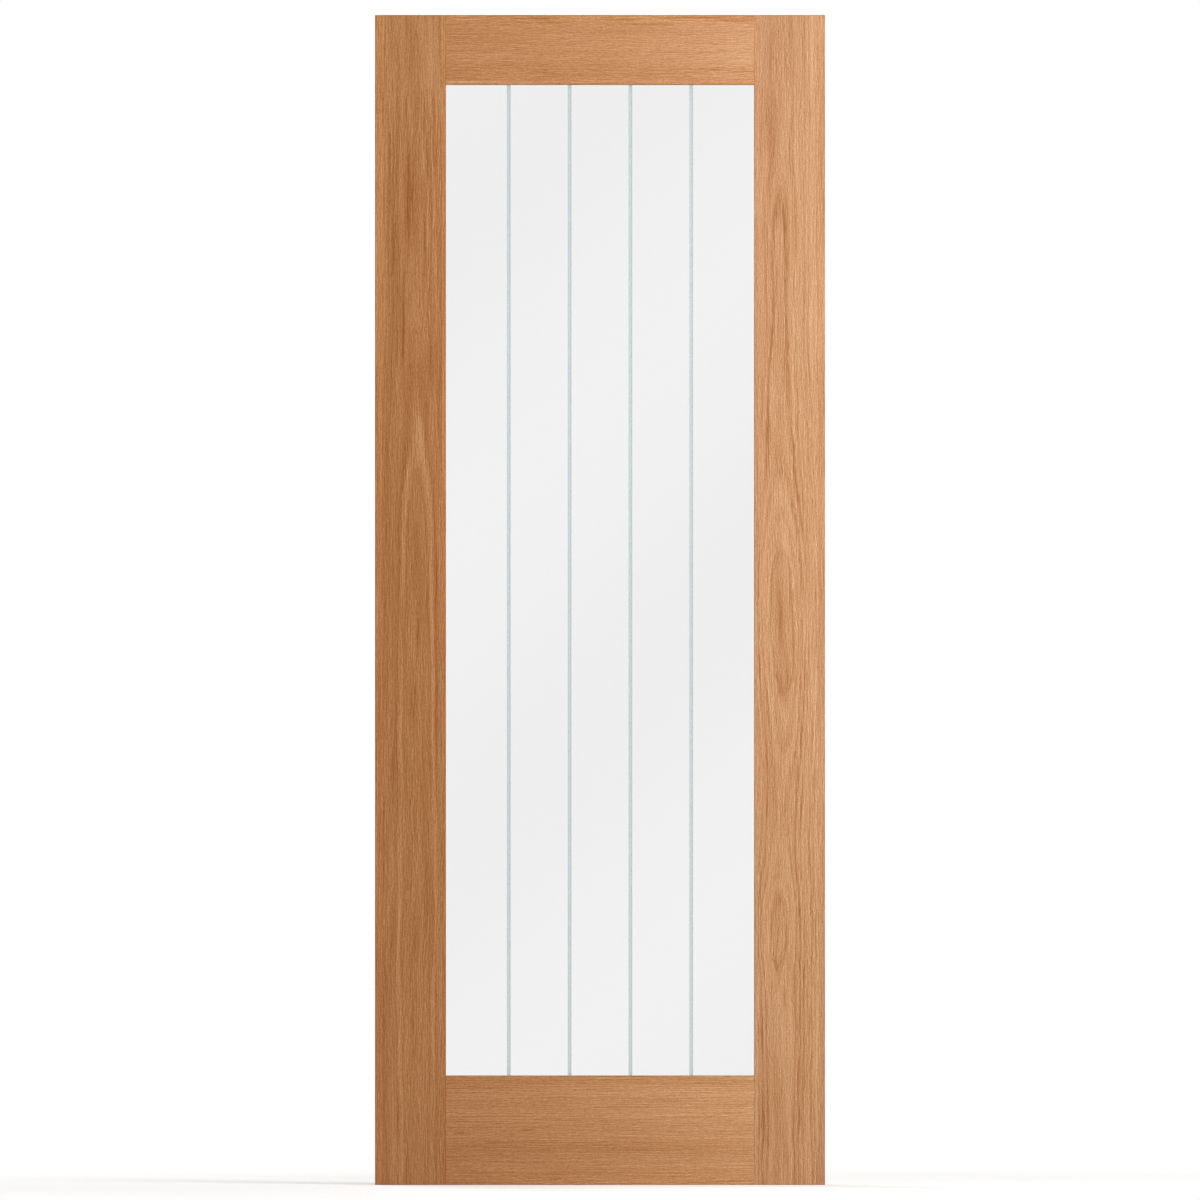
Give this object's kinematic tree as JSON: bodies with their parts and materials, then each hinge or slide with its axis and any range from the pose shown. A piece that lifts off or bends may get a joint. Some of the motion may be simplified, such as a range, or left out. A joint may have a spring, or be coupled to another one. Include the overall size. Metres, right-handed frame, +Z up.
{
  "type": "glazed interior door leaf",
  "caption": "Oak-faced stile-and-rail interior door leaf, glazed over most of its height with a clear pane that carries upright frosted lines.",
  "frame": {"origin": "on the hinge edge, at the bottom of the leaf, midway through its thickness", "axes": "+X across the leaf from the hinge edge to the latch edge, +Y from the front face to the back face with the glazing beads, +Z up"},
  "size_m": [0.762, 0.035, 1.981],
  "materials": {
    "oak_veneer": "crown-cut oak veneer with a clear satin finish",
    "oak_lipping": "straight-grained solid oak with a clear satin finish",
    "oak_bead": "straight-grained solid oak moulding with a clear satin finish",
    "core_timber": "bare laminated softwood, sawn across at the ends",
    "clear_glass": "clear polished safety glass with V-cut frosted lines",
    "glazing_tape": "matt closed-cell foam tape"
  },
  "bodies": {
    "root": {"left_stile_core": "core_timber", "left_stile_front_veneer": "oak_veneer", "left_stile_back_veneer": "oak_veneer", "left_stile_edge_lipping": "oak_lipping", "left_stile_sight_lipping": "oak_lipping", "right_stile_core": "core_timber", "right_stile_front_veneer": "oak_veneer", "right_stile_back_veneer": "oak_veneer", "right_stile_edge_lipping": "oak_lipping", "right_stile_sight_lipping": "oak_lipping", "top_rail_core": "core_timber", "top_rail_front_veneer": "oak_veneer", "top_rail_back_veneer": "oak_veneer", "top_rail_edge_lipping": "oak_lipping", "top_rail_sight_lipping": "oak_lipping", "bottom_rail_core": "core_timber", "bottom_rail_front_veneer": "oak_veneer", "bottom_rail_back_veneer": "oak_veneer", "bottom_rail_edge_lipping": "oak_lipping", "bottom_rail_sight_lipping": "oak_lipping", "glass_pane": "clear_glass", "left_front_tape": "glazing_tape", "right_front_tape": "glazing_tape", "top_front_tape": "glazing_tape", "bottom_front_tape": "glazing_tape", "left_back_tape": "glazing_tape", "right_back_tape": "glazing_tape", "top_back_tape": "glazing_tape", "bottom_back_tape": "glazing_tape", "left_glazing_bead": "oak_bead", "right_glazing_bead": "oak_bead", "top_glazing_bead": "oak_bead", "bottom_glazing_bead": "oak_bead"}
  },
  "joints": []
}
